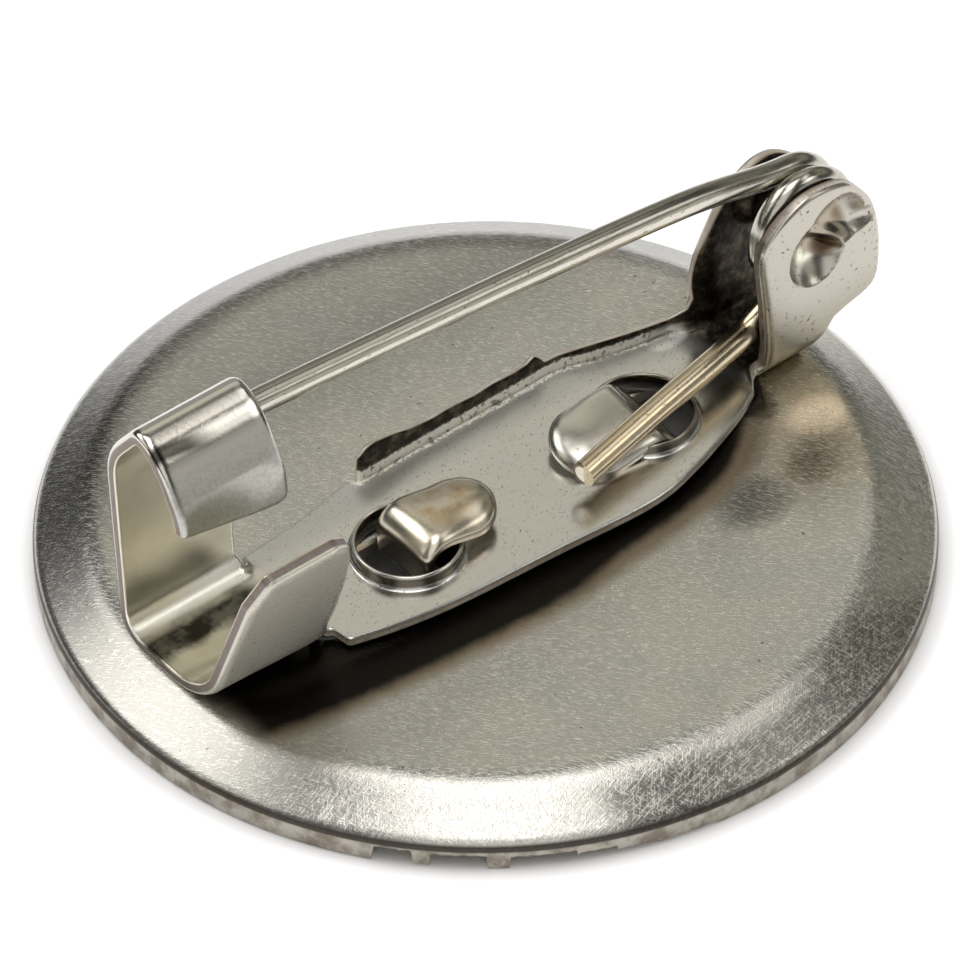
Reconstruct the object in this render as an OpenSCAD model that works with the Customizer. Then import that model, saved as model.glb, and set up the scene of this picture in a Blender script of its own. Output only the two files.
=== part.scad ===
// Badge blank: a stamped round shell with a safety-pin fitting clinched to its back.
// It lies on its rim with the back up. The origin is the centre of the rim's lower edge,
// +X runs along the bar from the catch to the coil, and +Z points out of the back.

/* [Disc] */
// Outer diameter of the shell
disc_d = 25; // [24.8:0.1:25.4]
// Thickness of the shell's sheet
disc_t = 0.35; // [0.32:0.01:0.36]
// Height of the flat back above the rim's lower edge
flat_z = 1.7; // [1.65:0.05:1.75]
// Radius at which the flat back turns into the slope
flat_r = 10.85; // [10.7:0.05:11]
// Height at which the slope turns into the upright rim
rim_z = 0.85; // [0.8:0.05:0.9]

/* [Clinched tabs] */
// Height of the left tab's top above the flat back
left_tab_h = 1.22; // [1.2:0.01:1.25]
// Height of the right tab's top above the flat back
right_tab_h = 0.9; // [0.88:0.01:0.92]
// Width of the left tab
left_tab_w = 2.25; // [2.1:0.05:2.3]
// Width of the right tab
right_tab_w = 2.4; // [2.3:0.05:2.45]

/* [Bar] */
// Thickness of the bar's sheet
bar_t = 0.4; // [0.38:0.01:0.4]
// Gap between the bar and the flat back
bar_gap = 0.02; // [0.01:0.01:0.03]
// Radius of the two round holes
hole_r = 1.42; // [1.4:0.01:1.45]
// Height of the collar raised round each hole
collar_h = 0.35; // [0.3:0.05:0.4]
// Height of the catch above the bar's underside
catch_h = 8.23; // [8.2:0.01:8.3]
// Height of the guard tab above the bar's underside
guard_h = 6.25; // [6.1:0.05:6.4]
// Lean of the guard tab from upright
guard_lean = 21.8; // [20:0.1:23]

/* [Pin] */
// Diameter of the spring wire
wire_d = 0.75; // [0.74:0.01:0.76]
// Mean radius of the coil
coil_r = 1.44; // [1.42:0.01:1.46]
// Place of the coil's axis along the bar
coil_x = 10.83; // [10.8:0.01:10.86]
// Height of the coil's axis above the bar's underside
coil_h = 4.32; // [4.3:0.01:4.34]

/* [Hidden] */
$fn = 72;
steel = [0.70, 0.68, 0.63];
bar_steel = [0.76, 0.74, 0.70];
wire_steel = [0.72, 0.68, 0.58];
far_out = 40;

// Height of the bar's underside, from which everything on the bar is measured
bar_z = flat_z + bar_gap;

// Columns: distance out, height, bend radius, along the shell's outer face
shell_path = [
    [0, flat_z, 0],
    [flat_r, flat_z, 3],
    [disc_d / 2, rim_z, 0.38],
    [disc_d / 2, 0, 0]
];
// Columns: first angle, last angle, height of the notch torn out of the rim's lower edge
rim_notches = [
    [-143.2, -138.2, 0.5],
    [-138.2, -136.1, 0.08],
    [-136.1, -129.1, 0.45],
    [-126.3, -118, 0.4],
    [-118, -113, 0.3],
    [-113, -108, 0.16],
    [-108, -100, 0.08]
];
// Columns: place of the bend's outer face along the bar, tip, middle across the bar,
// and lean of the top, by which its far side stands higher
left_tab = [-3.55, -0.45, -0.65, 0];
right_tab = [5.02, 1.97, -0.8, 7];
tab_bend_r = 0.75;
slot_len = 3.8;
slot_play = 0.04;

// The bar's holes and plan outline, columns: along the bar, across it
hole_y = [-0.64, -0.72];
hole_x = [-3.24, 5.05];
near_edge = [[-6.9, -1.7], [-6.6, -2.25], [-5.2, -2.7], [-3.3, -3], [0, -3.22],
             [3.2, -3.43], [5.1, -3.07], [7.2, -2.34], [8.4, -1.65], [9.1, -1.2]];
far_edge = [[-6.9, 1.7], [-6.75, 2.02], [-4.7, 2.2], [-2.7, 2.62], [-1, 2.7],
            [2.6, 3.02], [4, 3], [5, 2.6], [6.2, 2.24], [7.3, 2.02], [8.2, 1.85], [9, 1.55], [9.8, 1.4]];
flange_x0 = -2.5;
flange_t = 0.38;
// Columns: along the bar, height of the ragged upturned edge above the bar's underside
flange_top = [[-2.5, 1.5], [-1.9, 1.65], [-1.2, 1.3], [1.6, 1.1], [3.3, 1.1], [3.8, 1.25],
              [4.1, 0.8], [5.5, 0.9], [7.8, 0.87], [8.4, 1.1], [8.6, 1.7], [9.8, 2.2]];

// The catch: ends along the bar, and the bends of its outer face.
// Columns: across the bar, height, bend radius
catch_x = [-10.98, -7.3];
curl_x1 = -7.5;
wall_path = [
    [-1, 0, 0],
    [2.12, 0, 1.2],
    [2.34, 6.63, 2.2],
    [1, catch_h, 1],
    [-0.05, catch_h, 0.9],
    [-1.07, 6.35, 0.8],
    [-1.07, 5, 0]
];
guard_path = [
    [0.6, 0, 0],
    [-1.78, 0, 2.3],
    [-1.78 - 7 * sin(guard_lean), 7 * cos(guard_lean), 0]
];
// Columns: along the bar, height
guard_side = [[-11.2, -1], [-10.98, guard_h - 1.05], [-10.55, guard_h], [-8.3, guard_h],
              [-7.8, guard_h - 0.4], [-7.55, guard_h - 1.1], [-7.3, 3.7], [-7.2, 2.4],
              [-7.2, 1.2], [-6.8, 0.6], [-6.8, -1]];
flap_low = [[-11.2, 5.84], [-7.9, 5.28], [-7.5, 5.7], [-7, 5.7], [-7, 4], [-11.2, 4]];

// The ears: outer faces across the bar, fold radius, and side outline.
// Columns: along the bar, height
ear_near_y = -1.52;
ear_far_y = 1.4;
ear_fold_r = 0.75;
ear_x = [8.95, 11.5];
near_ear = [[8.98, 0.6], [8.81, 3.2], [8.68, 4.4], [8.76, 4.9], [9.13, 5.35], [9.66, 5.72],
            [10.38, 5.97], [11.2, 5.93], [11.86, 5.69], [12.44, 5.11], [12.84, 4.41],
            [13.08, 3.3], [13.12, 2.2], [13.03, 1.51], [12.7, 1.25], [12.03, 1.1], [11.5, 0.9], [11.4, 0.6]];
far_ear = [[8.95, 0.6], [8.6, 1.2], [8.5, 2.1], [8.57, 2.75], [8.75, 3.35], [9.25, 4.35],
           [9.75, 4.95], [10.3, 5.35], [10.85, 5.52], [11.47, 5.4], [12.2, 4.85], [12.75, 4],
           [12.9, 3], [12.85, 2], [12.6, 1.4], [12, 1.1], [11.4, 0.6]];
dimple_r = 0.98;
dimple_tip_r = 0.8;
dimple_depth = 0.62;

// The coil's turns and the wire's ends. Columns: along the bar, across it, height
far_turn_y = 0.1;
near_turn_y = -0.67;
turn_step = 10;
turn_split = 4;
arm_exit = 80;
tail_exit = -60;
arm_points = [[10, 0.1, 5.91], [7.4, 0.13, 6.45], [3, 0.23, 6.85], [-2, 0.38, 7.15], [-6.8, 0.55, 7.36],
              [-9.5, 0.64, 7.42]];
tail_points = [[9.6, -0.68, 1.84], [8.85, -0.72, 1.45], [8.3, -0.83, 1.4], [6.8, -1.15, 1.4],
               [5.05, -1.47, 1.36], [3.36, -1.78, 1.28], [1.78, -2.07, 1.2]];
wire_sides = 16;

// Point at distance r and angle a from the origin
function polar(r, a) = [r * cos(a), r * sin(a)];
function unit(v) = v / norm(v);
function turned(v, a) = [v[0] * cos(a) - v[1] * sin(a), v[0] * sin(a) + v[1] * cos(a)];
function left_of(v) = [-v[1], v[0]];
function flat(p) = [p[0], p[1]];

// Points and headings of a round bend at corner b of a path that comes from a and goes to c
function bend(a, b, c) =
    let (u = unit(flat(b) - flat(a)),
         w = unit(flat(c) - flat(b)),
         angle = atan2(u[0] * w[1] - u[1] * w[0], u * w),
         side = sign(angle),
         start = flat(b) - b[2] * tan(abs(angle) / 2) * u,
         centre = start + side * b[2] * left_of(u),
         steps = max(2, ceil(abs(angle) / 12)))
    [for (i = [0:steps])
        [centre + turned(start - centre, angle * i / steps), turned(u, angle * i / steps)]];

// Points and headings along a whole path of corners
function bent_path(rows) =
    let (n = len(rows) - 1)
    concat(
        [[flat(rows[0]), unit(flat(rows[1]) - flat(rows[0]))]],
        [for (i = [1:n - 1], s = bend(rows[i - 1], rows[i], rows[i + 1])) s],
        [[flat(rows[n]), unit(flat(rows[n]) - flat(rows[n - 1]))]]);

// Section of a bent sheet, its thickness to the left of the path, or to the right where t is negative
module sheet_section(rows, t) {
    s = bent_path(rows);
    n = len(s) - 1;
    polygon(concat([for (p = s) p[0]],
                   [for (i = [n:-1:0]) s[i][0] + t * left_of(s[i][1])]));
}

// Smooth curve through points, with steps pieces to each stretch
function spline(a, b, c, d, t) =
    0.5 * (2 * b + (c - a) * t + (2 * a - 5 * b + 4 * c - d) * t * t + (3 * b - a - 3 * c + d) * t * t * t);
function curve(p, steps) =
    let (n = len(p) - 1)
    concat([for (i = [0:n - 1], s = [0:steps - 1])
                spline(p[max(i - 1, 0)], p[i], p[i + 1], p[min(i + 2, n)], s / steps)],
           [p[n]]);
function reversed(p) = [for (i = [len(p) - 1:-1:0]) p[i]];

// Lays an outline of length and height against the bar and gives it a width across it
module across(y0, y1) {
    translate([0, y1, 0]) rotate([90, 0, 0]) linear_extrude(y1 - y0) children();
}

// Lays a section of width and height across the bar and draws it out along it
module along(x0, x1) {
    translate([x0, 0, 0]) rotate([90, 0, 90]) linear_extrude(x1 - x0) children();
}

// Plan of a tab or slot with one round end, from a root to a tip
module tongue(root, tip, w) {
    dir = sign(tip - root);
    translate([tip - dir * w / 2, 0]) circle(w / 2);
    translate([min(root, tip - dir * w / 2), -w / 2]) square([abs(tip - root) - w / 2, w]);
}

// A tab that stands up from the shell and is clinched over, with its thickness under the path
module clinched_tab(tab, w, h) {
    dir = sign(tab[1] - tab[0]);
    intersection() {
        translate([0, tab[2] - w / 2, flat_z + h])
            rotate([tab[3], 0, 0])
                across(0, w * 1.05)
                    sheet_section([[tab[0], -h - disc_t, 0],
                                   [tab[0], 0, tab_bend_r],
                                   [tab[1], 0, 0]], -dir * disc_t);
        translate([0, tab[2], flat_z - disc_t]) linear_extrude(far_out) tongue(tab[0], tab[1], w);
    }
}

// The gap left in the flat back where a tab was cut and raised
module tab_slot(tab, w) {
    dir = sign(tab[1] - tab[0]);
    translate([0, tab[2], flat_z - 1])
        linear_extrude(2)
            tongue(tab[0] - dir * slot_play, tab[0] - dir * slot_len, w + 2 * slot_play);
}

module rim_notch(row) {
    translate([0, 0, -1])
        linear_extrude(1 + row[2])
            polygon([[0, 0], polar(disc_d, row[0]), polar(disc_d, row[1])]);
}

module disc() {
    color(steel) union() {
        difference() {
            rotate_extrude() sheet_section(shell_path, -disc_t);
            for (row = rim_notches) rim_notch(row);
            tab_slot(left_tab, left_tab_w);
            tab_slot(right_tab, right_tab_w);
        }
        clinched_tab(left_tab, left_tab_w, left_tab_h);
        clinched_tab(right_tab, right_tab_w, right_tab_h);
    }
}

module plate() {
    linear_extrude(bar_t)
        difference() {
            polygon(concat(curve(near_edge, 4), reversed(curve(far_edge, 4))));
            for (i = [0, 1]) translate([hole_x[i], hole_y[i]]) circle(hole_r);
        }
    translate([catch_x[1] - 0.4, -1.6, 0]) cube([-6.5 - catch_x[1], 3.2, bar_t]);
}

// The thin collar raised round a hole, flattened where a tab was pressed over it
module collar(i, tab, w) {
    x = hole_x[i];
    y = hole_y[i];
    translate([x, y, 0])
        difference() {
            rotate_extrude()
                polygon([[hole_r, 0.1], [hole_r + 0.16, 0.1], [hole_r + 0.16, bar_t],
                         [hole_r + 0.07, bar_t + collar_h], [hole_r, bar_t + collar_h]]);
            translate([tab[0] - x, tab[2] - y - w / 2 - 0.1, bar_t])
                mirror([tab[1] > tab[0] ? 0 : 1, 0, 0]) cube([4, w + 0.2, 2]);
        }
}

// The ragged edge turned up along the far side of the plate
module flange() {
    edge = curve(far_edge, 4);
    intersection() {
        linear_extrude(5)
            polygon(concat(edge, reversed([for (p = edge) p - [0, flange_t]])));
        across(0, 5) polygon(concat(flange_top, [[9.8, 0], [flange_x0, 0]]));
    }
}

module catch() {
    difference() {
        along(catch_x[0], catch_x[1]) sheet_section(wall_path, bar_t);
        across(-2, 0) polygon(flap_low);
        translate([curl_x1, -2, 5]) cube([1, 2.6, 4]);
    }
    intersection() {
        along(catch_x[0], -6.8) sheet_section(guard_path, -bar_t);
        across(-6, 1) polygon(guard_side);
    }
}

// Cone that stands in from an ear as the coil's pivot, hollow from outside
module dimple(y, inward) {
    translate([coil_x, y, coil_h])
        rotate([inward * -90, 0, 0])
            cylinder(h = bar_t + dimple_depth, r1 = dimple_r + 0.06, r2 = dimple_tip_r);
}

module dimple_hollow(y, inward) {
    translate([coil_x, y - inward * 0.2, coil_h])
        rotate([inward * -90, 0, 0])
            cylinder(h = dimple_depth + 0.2, r1 = dimple_r + 0.1, r2 = dimple_tip_r - 0.3);
}

module ears() {
    intersection() {
        along(ear_x[0], ear_x[1])
            sheet_section([[ear_near_y, 3, 0], [ear_near_y, 0, ear_fold_r],
                           [ear_far_y, 0, ear_fold_r], [ear_far_y, 3, 0]], bar_t);
        translate([0, ear_near_y, 0]) cube([far_out, ear_far_y - ear_near_y, 1.2]);
    }
    difference() {
        union() {
            across(ear_near_y, ear_near_y + bar_t) polygon(near_ear);
            across(ear_far_y - bar_t, ear_far_y) polygon(far_ear);
            dimple(ear_near_y, 1);
            dimple(ear_far_y, -1);
        }
        dimple_hollow(ear_near_y, 1);
        dimple_hollow(ear_far_y, -1);
    }
}

module pin_bar() {
    color(bar_steel)
        translate([0, 0, bar_z]) {
            plate();
            collar(0, left_tab, left_tab_w);
            collar(1, right_tab, right_tab_w);
            flange();
            catch();
            ears();
        }
}

// Point on the coil at an angle, seen with the catch on the left, and a flat turn from a0 to a1
function on_coil(a, y) = [coil_x + coil_r * cos(a), y, coil_h + coil_r * sin(a)];
function turn(y, a0, a1) =
    let (n = round(abs(a1 - a0) / turn_step))
    [for (i = [0:n]) on_coil(a0 + (a1 - a0) * i / n, y)];

// Cross product frame of a path: two directions square to the run at each point
function run(p, i) = unit(p[min(i + 1, len(p) - 1)] - p[max(i - 1, 0)]);
function ring(p, i, r) =
    let (d = run(p, i),
         side = unit(cross(d, [0, 1, 0])),
         over = cross(side, d))
    [for (k = [0:wire_sides - 1])
        p[i] + r * (cos(360 * k / wire_sides) * side - sin(360 * k / wire_sides) * over)];

// Round wire swept along points
module wire(p) {
    n = len(p);
    m = wire_sides;
    polyhedron(
        points = [for (i = [0:n - 1], q = ring(p, i, wire_d / 2)) q],
        faces = concat(
            [[for (k = [0:m - 1]) k]],
            [[for (k = [m - 1:-1:0]) (n - 1) * m + k]],
            [for (i = [0:n - 2], k = [0:m - 1])
                [i * m + k, (i + 1) * m + k, (i + 1) * m + (k + 1) % m, i * m + (k + 1) % m]]));
}

module pin_arm() {
    color(wire_steel)
        translate([0, 0, bar_z])
            wire(concat(turn(far_turn_y, -90, arm_exit), curve(arm_points, 3)));
}

module coil_tail() {
    cross_over = [for (i = [0:8])
        let (s = i / 9)
        on_coil(-90 - turn_split - s * (90 - turn_split),
                far_turn_y + (near_turn_y - far_turn_y) * s * s * (3 - 2 * s))];
    color(wire_steel)
        translate([0, 0, bar_z])
            wire(concat(cross_over, turn(near_turn_y, 180, tail_exit), curve(tail_points, 2)));
}

disc();
pin_bar();
pin_arm();
coil_tail();
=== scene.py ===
import math

import bmesh
import bpy
import numpy as np
from mathutils import Matrix, Vector
from mathutils.geometry import delaunay_2d_cdt


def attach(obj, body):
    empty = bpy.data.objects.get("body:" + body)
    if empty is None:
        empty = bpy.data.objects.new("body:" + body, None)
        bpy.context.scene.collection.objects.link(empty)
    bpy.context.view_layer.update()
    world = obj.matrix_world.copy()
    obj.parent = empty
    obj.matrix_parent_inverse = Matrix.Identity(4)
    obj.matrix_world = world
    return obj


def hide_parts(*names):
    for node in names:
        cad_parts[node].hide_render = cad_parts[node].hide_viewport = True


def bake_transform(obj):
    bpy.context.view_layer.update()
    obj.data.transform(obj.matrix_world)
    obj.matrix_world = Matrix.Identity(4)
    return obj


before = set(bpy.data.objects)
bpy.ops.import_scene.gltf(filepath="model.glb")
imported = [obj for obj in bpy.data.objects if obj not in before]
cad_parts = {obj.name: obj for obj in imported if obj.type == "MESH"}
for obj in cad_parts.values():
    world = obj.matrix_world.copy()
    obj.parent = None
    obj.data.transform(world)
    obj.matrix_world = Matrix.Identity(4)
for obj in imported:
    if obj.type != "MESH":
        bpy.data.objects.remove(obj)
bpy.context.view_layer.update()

bl_info = {
    "name": "Badge Blank",
    "version": (1, 0, 0),
    "blender": (4, 5, 0),
    "location": "View3D > Sidebar > Badge",
    "description": "Builds a stamped steel badge back with its clinched safety-pin bar and spring wire",
    "category": "Object",
}

# One millimetre in metres. The places and sizes below are in millimetres and degrees.
MM = 0.001
FLAT_Z = 1.7
BAR_Z = 1.72

# The shell: corners of its outer face, as distance out, height and bend radius
SHELL_PATH = [(0, FLAT_Z, 0), (10.85, FLAT_Z, 1.8), (12.5, 0.85, 0.28), (12.5, 0, 0)]
LATHE_FROM = 9.0
# Angles between which the rim is notched, and the steps of its points there and elsewhere
NOTCHED = (-145, -98)
FINE_STEP, PLAIN_STEP = 0.2, 1.0
# Notches torn out of the rim's lower edge: first angle, last angle, height
RIM_NOTCHES = [
    (-143.2, -138.2, 0.5),
    (-138.2, -136.1, 0.08),
    (-136.1, -129.1, 0.45),
    (-126.3, -118.0, 0.4),
    (-118.0, -113.0, 0.3),
    (-113.0, -108.0, 0.16),
    (-108.0, -100.0, 0.08),
]
# The dip pressed into the flat along the bar's near side: along the bar, where the dip starts
DIP_START = [(-9.6, -3.7), (-8.3, -4.04), (-5, -4.25), (0.2, -4.72), (3.2, -4.46), (5, -4.2), (7.5, -3.4)]
DIP_DEPTH = 0.12
# The clinched tabs: root, tip, middle across the bar, width, height over the flat, lean
TABS = [
    (-3.55, -0.45, -0.65, 2.25, 1.44, 0.0),
    (5.02, 1.97, -0.8, 2.4, 0.9, 11.0),
]
# Bend radius at a tab's root and where it is clinched over
TAB_BENDS = (0.42, 0.75)
# The openings they were cut from: length, how far one runs on past the root, gap beside the tab
SLOT_LEN = 3.8
SLOT_PAST = 0.55
SLOT_GAP = 0.04
SLOT_CORNER = 0.05

# The bar: its two holes, as place and height of the collar, and edges of the plate
HOLES = [(-3.24, -0.64, 0.42), (5.05, -0.72, 0.35)]
HOLE_R = 1.42
# How far a collar spreads on the plate, where it rises, its bend radius outside and the lip's
# height that this bend belongs to, and its bend radius inside
COLLAR_R = 1.9
COLLAR_FOOT = 1.68
COLLAR_BEND = 0.12
COLLAR_LIP = 0.35
COLLAR_MOUTH = 0.26
NEAR_EDGE = [
    (-6.5, -2.36), (-5.2, -2.7), (-3.3, -3.0), (0, -3.22), (3.2, -3.43), (5.1, -3.07),
    (7.2, -2.34), (8.1, -1.87), (8.7, -1.6),
]
FAR_EDGE = [(-2.62, 2.6), (-4.7, 2.2), (-6.6, 2.03)]
# Outer corner of the upturned far side: along the bar, across it
FAR_FOOT = [
    (-3.0, 2.6), (-1.0, 2.63), (2.6, 2.64), (4.3, 2.66), (4.75, 2.6), (5.48, 2.33), (6.37, 2.08),
    (7.31, 1.9), (7.9, 1.8), (8.4, 1.5), (8.8, 1.42), (9.2, 1.4), (14.0, 1.4),
]
# Ragged top of the flange: along the bar, height
FLANGE_TOP = [
    (8.4, 1.15), (8.1, 0.93), (7.4, 0.84), (6.6, 0.88), (5.5, 0.9), (4.6, 0.84), (4.15, 0.82),
    (3.95, 1.1), (3.78, 1.26), (3.5, 1.12), (3.0, 1.08), (2.3, 1.13), (1.6, 1.08), (0.8, 1.14),
    (0.0, 1.12), (-0.7, 1.2), (-1.2, 1.34), (-1.6, 1.4), (-1.95, 1.46), (-2.25, 1.4), (-2.5, 1.2),
]
# The catch's wall and curl: across the bar, height, bend radius of the outer face
WALL_PATH = [
    (0, 0, 0), (2.12, 0, 1.2), (2.34, 6.63, 2.2), (1.0, 8.31, 1.0), (0.34, 8.2, 1.3), (-0.32, 7.66, 2.2),
    (-1.07, 6.35, 2.2), (-1.2, 5.0, 0),
]
CATCH_X = -10.98
# The guard tab: along the bar, height
GUARD_SIDE = [
    (-10.98, 5.2, 0.12), (-10.55, 6.25, 0.3), (-8.3, 6.22, 0.45), (-7.8, 5.85, 0.3),
    (-7.55, 5.1, 0.8), (-7.3, 3.7, 1.0), (-7.2, 2.4, 1.0), (-7.2, 1.3, 0.4),
]
GUARD_FOOT = 1.78
GUARD_LEAN = math.radians(21.8)
# Outlines of the two ears: along the bar, height
NEAR_EAR = [
    (8.98, 1.2), (8.93, 2.0), (8.81, 3.2), (8.68, 4.35), (8.78, 4.9), (9.13, 5.35), (9.66, 5.72),
    (10.38, 5.97), (11.2, 5.93), (11.86, 5.69), (12.44, 5.11), (12.84, 4.41), (13.08, 3.3),
    (13.12, 2.2), (13.0, 1.6), (12.66, 1.32), (12.0, 1.14), (11.5, 0.98),
]
FAR_EAR = [
    (11.5, 0.94), (12.0, 1.1), (12.6, 1.4), (12.85, 2.0), (12.9, 3.0), (12.75, 4.0), (12.2, 4.85),
    (11.47, 5.4), (10.85, 5.52), (10.3, 5.35), (9.75, 4.95), (9.25, 4.35), (8.75, 3.35),
    (8.57, 2.75), (8.5, 2.1), (8.55, 1.5),
]
NEAR_EAR_FOOT = 1.52
EAR_FOLD = 0.75
COIL_X = 10.83
COIL_H = 4.32

# The wire: places along the bar, across it and above the bar's underside
COIL_R = 1.44
FAR_TURN_Y = 0.1
NEAR_TURN_Y = -0.67
# Steps along the wire and round its coil, and the sides of its section
WIRE_STEP = 0.25
COIL_STEP = 6
WIRE_SIDES = 32
ARM_POINTS = [
    (10.0, 0.1, 5.91), (7.4, 0.13, 6.45), (3.0, 0.23, 6.85), (-2.0, 0.38, 7.15),
    (-6.8, 0.55, 7.36), (-9.5, 0.64, 7.42),
]
TAIL_POINTS = [
    (9.6, -0.68, 1.84), (8.85, -0.72, 1.45), (8.3, -0.83, 1.4), (6.8, -1.15, 1.4),
    (5.05, -1.47, 1.36), (3.36, -1.78, 1.28), (1.78, -2.07, 1.2),
]


# Curves and outlines

def run_length(line):
    """How far along a run of points each of them lies."""
    return np.concatenate([[0], np.cumsum(np.linalg.norm(np.diff(line, axis=0), axis=1))])


def from_table(x, table):
    """Second column of a table at places x in its first."""
    return np.interp(x, *np.transpose(table))


def even(line, step):
    """Resamples a run of points at even steps."""
    line = np.asarray(line, float)
    along = run_length(line)
    count = max(2, int(round(along[-1] / step)) + 1)
    at = np.linspace(0, along[-1], count)
    return np.stack([np.interp(at, along, column) for column in line.T], 1)


def smooth_run(points, step):
    """Smooth curve through points, at even steps."""
    p = np.asarray(points, float)
    p = np.vstack([2 * p[0] - p[1], p, 2 * p[-1] - p[-2]])
    t = np.linspace(0, 1, 16, endpoint=False)[:, None]
    out = []
    for a, b, c, d in zip(p, p[1:], p[2:], p[3:]):
        out.append(0.5 * (2 * b + (c - a) * t + (2 * a - 5 * b + 4 * c - d) * t**2
                          + (3 * b - a - 3 * c + d) * t**3))
    return even(np.vstack(out + [p[-2:-1]]), step)


# A bend takes at most this share of the sides it joins, and turns this many radians a step
BEND_SHARE = 0.49
BEND_STEP = 0.12


def round_corner(a, b, c, radius):
    """Points of a round bend at corner b between a and c."""
    u = (b - a) / np.linalg.norm(b - a)
    w = (c - b) / np.linalg.norm(c - b)
    angle = math.atan2(u[0] * w[1] - u[1] * w[0], float(u @ w))
    if radius <= 0 or abs(angle) < 1e-3:
        return [b]
    reach = math.tan(abs(angle) / 2)
    radius = min(radius, BEND_SHARE * min(np.linalg.norm(b - a), np.linalg.norm(c - b)) / reach)
    start = b - radius * reach * u
    centre = start + math.copysign(1, angle) * radius * np.array([-u[1], u[0]])
    steps = max(3, int(abs(angle) / BEND_STEP))
    out = []
    for i in range(steps + 1):
        k = angle * i / steps
        turn = np.array([[math.cos(k), -math.sin(k)], [math.sin(k), math.cos(k)]])
        out.append(centre + turn @ (start - centre))
    return out


def rounded_loop(rows, step):
    """Closed outline through corners (u, v, radius), at even steps."""
    p = [np.array(r[:2], float) for r in rows]
    out = []
    for i, row in enumerate(rows):
        out += round_corner(p[i - 1], p[i], p[(i + 1) % len(p)], row[2])
    return even(np.vstack([out, out[:1]]), step)[:-1]


def rounded_path(rows, step):
    """Open path through corners (u, v, radius): points and headings along it."""
    p = [np.array(r[:2], float) for r in rows]
    out = [p[0]]
    for i in range(1, len(p) - 1):
        out += round_corner(p[i - 1], p[i], p[i + 1], rows[i][2])
    line = even(np.array(out + [p[-1]]), step)
    run = np.gradient(line, axis=0)
    return line, np.unwrap(np.arctan2(run[:, 1], run[:, 0]))


def fade(x, low, high):
    """0 below low, 1 above high, smooth between."""
    t = np.clip((np.asarray(x, float) - low) / (high - low), 0, 1)
    return t * t * (3 - 2 * t)


def one_bend(s, corner, radius, angle):
    """A sheet that runs out, bends up once and goes on straight: distance out, up and heading."""
    start = corner - radius * np.tan(angle / 2)
    turn = np.clip((s - start) / radius, 0, angle)
    rest = np.clip(s - start - radius * angle, 0, None)
    out = np.where(s < start, s, start + radius * np.sin(turn) + rest * np.cos(angle))
    up = radius * (1 - np.cos(turn)) + rest * np.sin(angle)
    return out, up, turn


def loop_distance(points, loops):
    """Distance of each point to the nearest edge of the outlines."""
    best = np.full(len(points), 1e9)
    for loop in loops:
        a, b = loop, np.roll(loop, -1, axis=0)
        ab = b - a
        size = (ab * ab).sum(1)
        for i in range(0, len(points), 2000):
            ap = points[i:i + 2000, None] - a[None]
            t = np.clip((ap * ab).sum(2) / size, 0, 1)
            gap = np.sqrt(((ap - t[..., None] * ab) ** 2).sum(2)).min(1)
            best[i:i + 2000] = np.minimum(best[i:i + 2000], gap)
    return best


def inside(points, loops):
    """True for each point inside the first outline and outside the others."""
    odd = np.zeros(len(points), bool)
    x, y = points[:, 0:1], points[:, 1:2]
    for loop in loops:
        a, b = loop, np.roll(loop, -1, axis=0)
        for i in range(0, len(points), 4000):
            px, py = x[i:i + 4000], y[i:i + 4000]
            spans = (a[:, 1] > py) != (b[:, 1] > py)
            rise = np.where(b[:, 1] == a[:, 1], 1e-12, b[:, 1] - a[:, 1])
            left = px < (b[:, 0] - a[:, 0]) * (py - a[:, 1]) / rise + a[:, 0]
            odd[i:i + 4000] ^= (spans & left).sum(1) % 2 == 1
    return odd


# Sheet metal

def add_object(name, data):
    """Links an object of this data to the scene."""
    obj = bpy.data.objects.new(name, data)
    bpy.context.scene.collection.objects.link(obj)
    return obj


class Piece:
    """Gathers the points and faces of one mesh, in millimetres.

    Each point is marked as lying on a cut edge or not, and on the inner face of its sheet or not.
    """

    def __init__(self):
        self.points = []
        self.cut = []
        self.inner = []
        self.faces = []

    def add(self, points, cut=0.0, inner=0.0):
        """Takes in points and gives their numbers."""
        start = sum(len(p) for p in self.points)
        self.points.append(np.asarray(points, float))
        self.cut.append(np.full(len(points), cut))
        self.inner.append(np.full(len(points), inner))
        return np.arange(start, start + len(points))

    def strip(self, first, second):
        """Quads between two closed rows of points."""
        self.faces += zip(first, np.roll(first, -1), np.roll(second, -1), second)

    def grid(self, rows, cut=0.0):
        """Quads through closed rows of points, with one mark for all rows or one for each."""
        rows = [self.add(row, mark) for row, mark in zip(rows, np.broadcast_to(cut, len(rows)))]
        for first, second in zip(rows, rows[1:]):
            self.strip(first, second)

    def skins(self, top, low, faces):
        """The two sides of a sheet, with the same triangles."""
        for a, b, c in faces:
            self.faces.append((top[a], top[b], top[c]))
            self.faces.append((low[a], low[c], low[b]))

    def finish(self, name):
        """The finished object: doubles merged, faces outwards, smooth."""
        mesh = bpy.data.meshes.new(name)
        mesh.from_pydata((np.vstack(self.points) * MM).tolist(), [], self.faces)
        for mark, values in (("cut", self.cut), ("inner", self.inner)):
            layer = mesh.attributes.new(mark, "FLOAT", "POINT")
            layer.data.foreach_set("value", np.concatenate(values).astype(np.float32))
        work = bmesh.new()
        work.from_mesh(mesh)
        bmesh.ops.remove_doubles(work, verts=work.verts, dist=DOUBLES)
        bmesh.ops.dissolve_degenerate(work, edges=work.edges, dist=DEGENERATE)
        bmesh.ops.recalc_face_normals(work, faces=work.faces)
        work.to_mesh(mesh)
        work.free()
        mesh.shade_smooth()
        return add_object(name, mesh)


# How near points are merged and how short an edge is dropped, in metres
DOUBLES = 2e-7
DEGENERATE = 1e-8
# Rows of points beside an edge, and how much of that distance a place must keep to every edge
EDGE_ROWS = (0.02, 0.055, 0.1, 0.16, 0.24)
EDGE_KEEP = 0.94
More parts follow.
